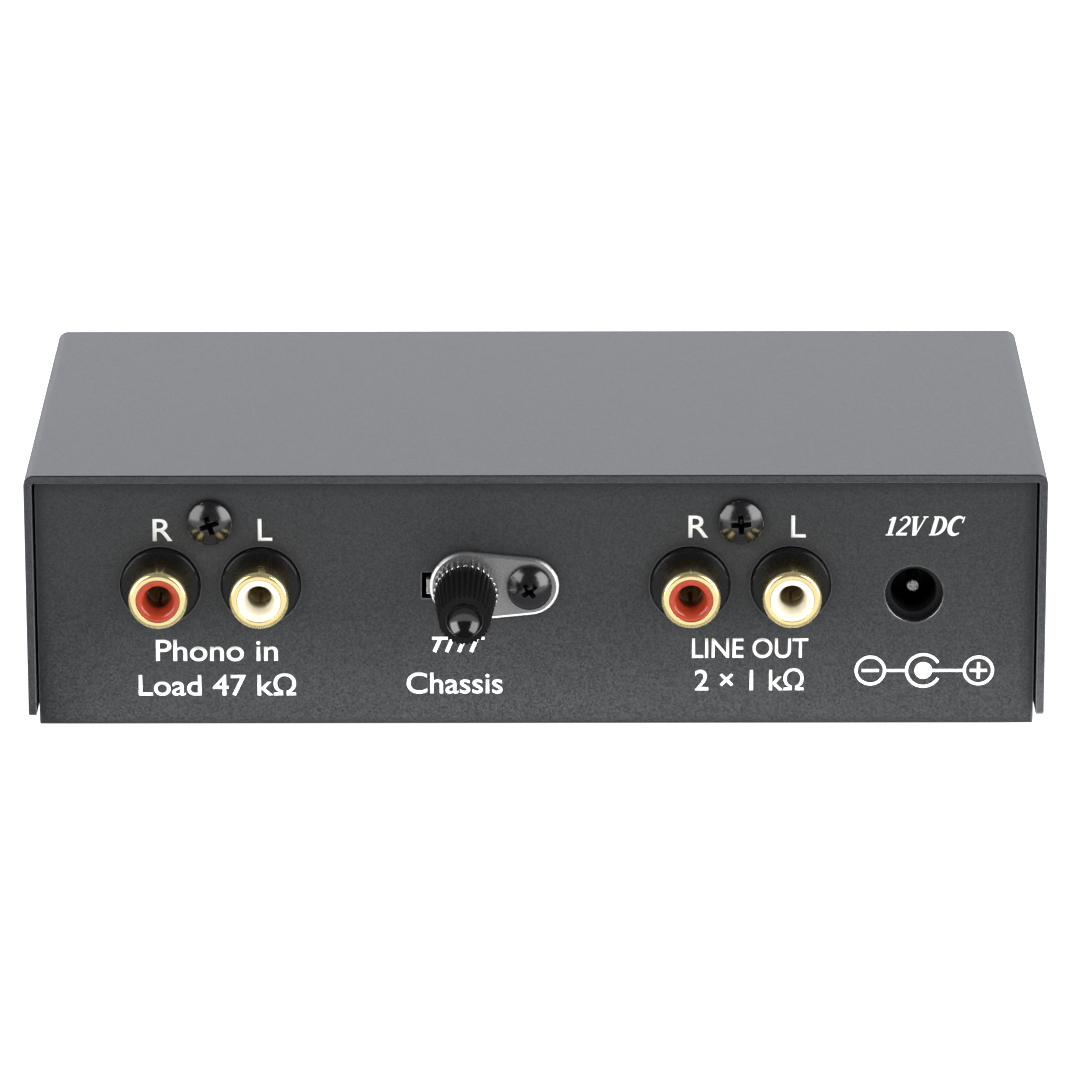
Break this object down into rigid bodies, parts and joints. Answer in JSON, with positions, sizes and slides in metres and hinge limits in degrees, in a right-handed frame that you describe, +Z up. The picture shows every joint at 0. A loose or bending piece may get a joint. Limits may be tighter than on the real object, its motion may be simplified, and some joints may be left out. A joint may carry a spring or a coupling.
{
  "type": "phono preamp",
  "caption": "Steel-cased phono preamp with gold-plated phono sockets, a ground terminal with a turning thumb nut, and a DC socket.",
  "frame": {"origin": "bottom centre of the whole part: the plane of the feet, under the middle of the bounding box", "axes": "+X along the socket panel to the viewer's right, +Y from the socket panel to the plain panel, +Z up"},
  "size_m": [0.142, 0.089, 0.0391],
  "materials": {
    "case_paint": "fine-grained powder coat, charcoal grey",
    "black_screw": "black-plated steel",
    "rubber": "soft rubber",
    "board_green": "solder mask",
    "brass": "turned brass",
    "steel": "zinc-plated steel",
    "black_plastic": "moulded plastic",
    "gold_plate": "gold-plated brass",
    "red_plastic": "moulded plastic",
    "white_plastic": "moulded plastic",
    "nickel_plate": "nickel-plated steel",
    "light_lens": "diffused resin",
    "can_sleeve": "shrunk sleeve",
    "film_case": "epoxy-filled case",
    "ceramic": "dipped ceramic",
    "resistor_body": "lacquered film body"
  },
  "bodies": {
    "case": {"cover": "case_paint", "chassis": "case_paint", "cover_screws": "black_screw", "feet": "rubber", "circuit_board": "board_green", "board_standoffs": "brass", "board_screws": "steel", "base_screws": "steel", "input_socket_block": "black_plastic", "output_socket_block": "black_plastic", "input_socket_shells": "gold_plate", "output_socket_shells": "gold_plate", "red_socket_inserts": "red_plastic", "white_socket_inserts": "white_plastic", "socket_contacts": "brass", "socket_block_screws": "black_screw", "dc_socket_body": "black_plastic", "dc_socket_pin": "nickel_plate", "dc_socket_spring": "brass", "ground_plate": "nickel_plate", "ground_post": "nickel_plate", "ground_strap": "nickel_plate", "ground_plate_screw": "black_screw", "ground_plate_nut": "steel", "power_light": "light_lens", "power_light_holder": "black_plastic", "amplifier_chips": "black_plastic", "chip_sockets": "black_plastic", "supply_capacitors": "can_sleeve", "coupling_capacitors": "can_sleeve", "film_capacitors": "film_case", "ceramic_capacitors": "ceramic", "resistors": "resistor_body", "voltage_regulator": "black_plastic", "supply_diode": "black_plastic"},
    "ground_washer": {"ground_lock_washer": "nickel_plate"},
    "ground_thumb_nut": {"ground_nut": "nickel_plate", "ground_knob": "black_plastic"}
  },
  "joints": [
    {"name": "ground_travel", "type": "slide", "parent": "case", "child": "ground_washer", "axis": [0, -1, 0], "range_m": [0, 0.0035]},
    {"name": "ground_turn", "type": "hinge", "parent": "ground_washer", "child": "ground_thumb_nut", "pos_m": [-0.00975, -0.0285, 0.0227], "axis": [0, -1, 0], "range_deg": [0, 1800]}
  ],
  "couplings": [
    {"joint": "ground_turn", "follows": "ground_travel", "rad_per_m": 8975.9}
  ]
}
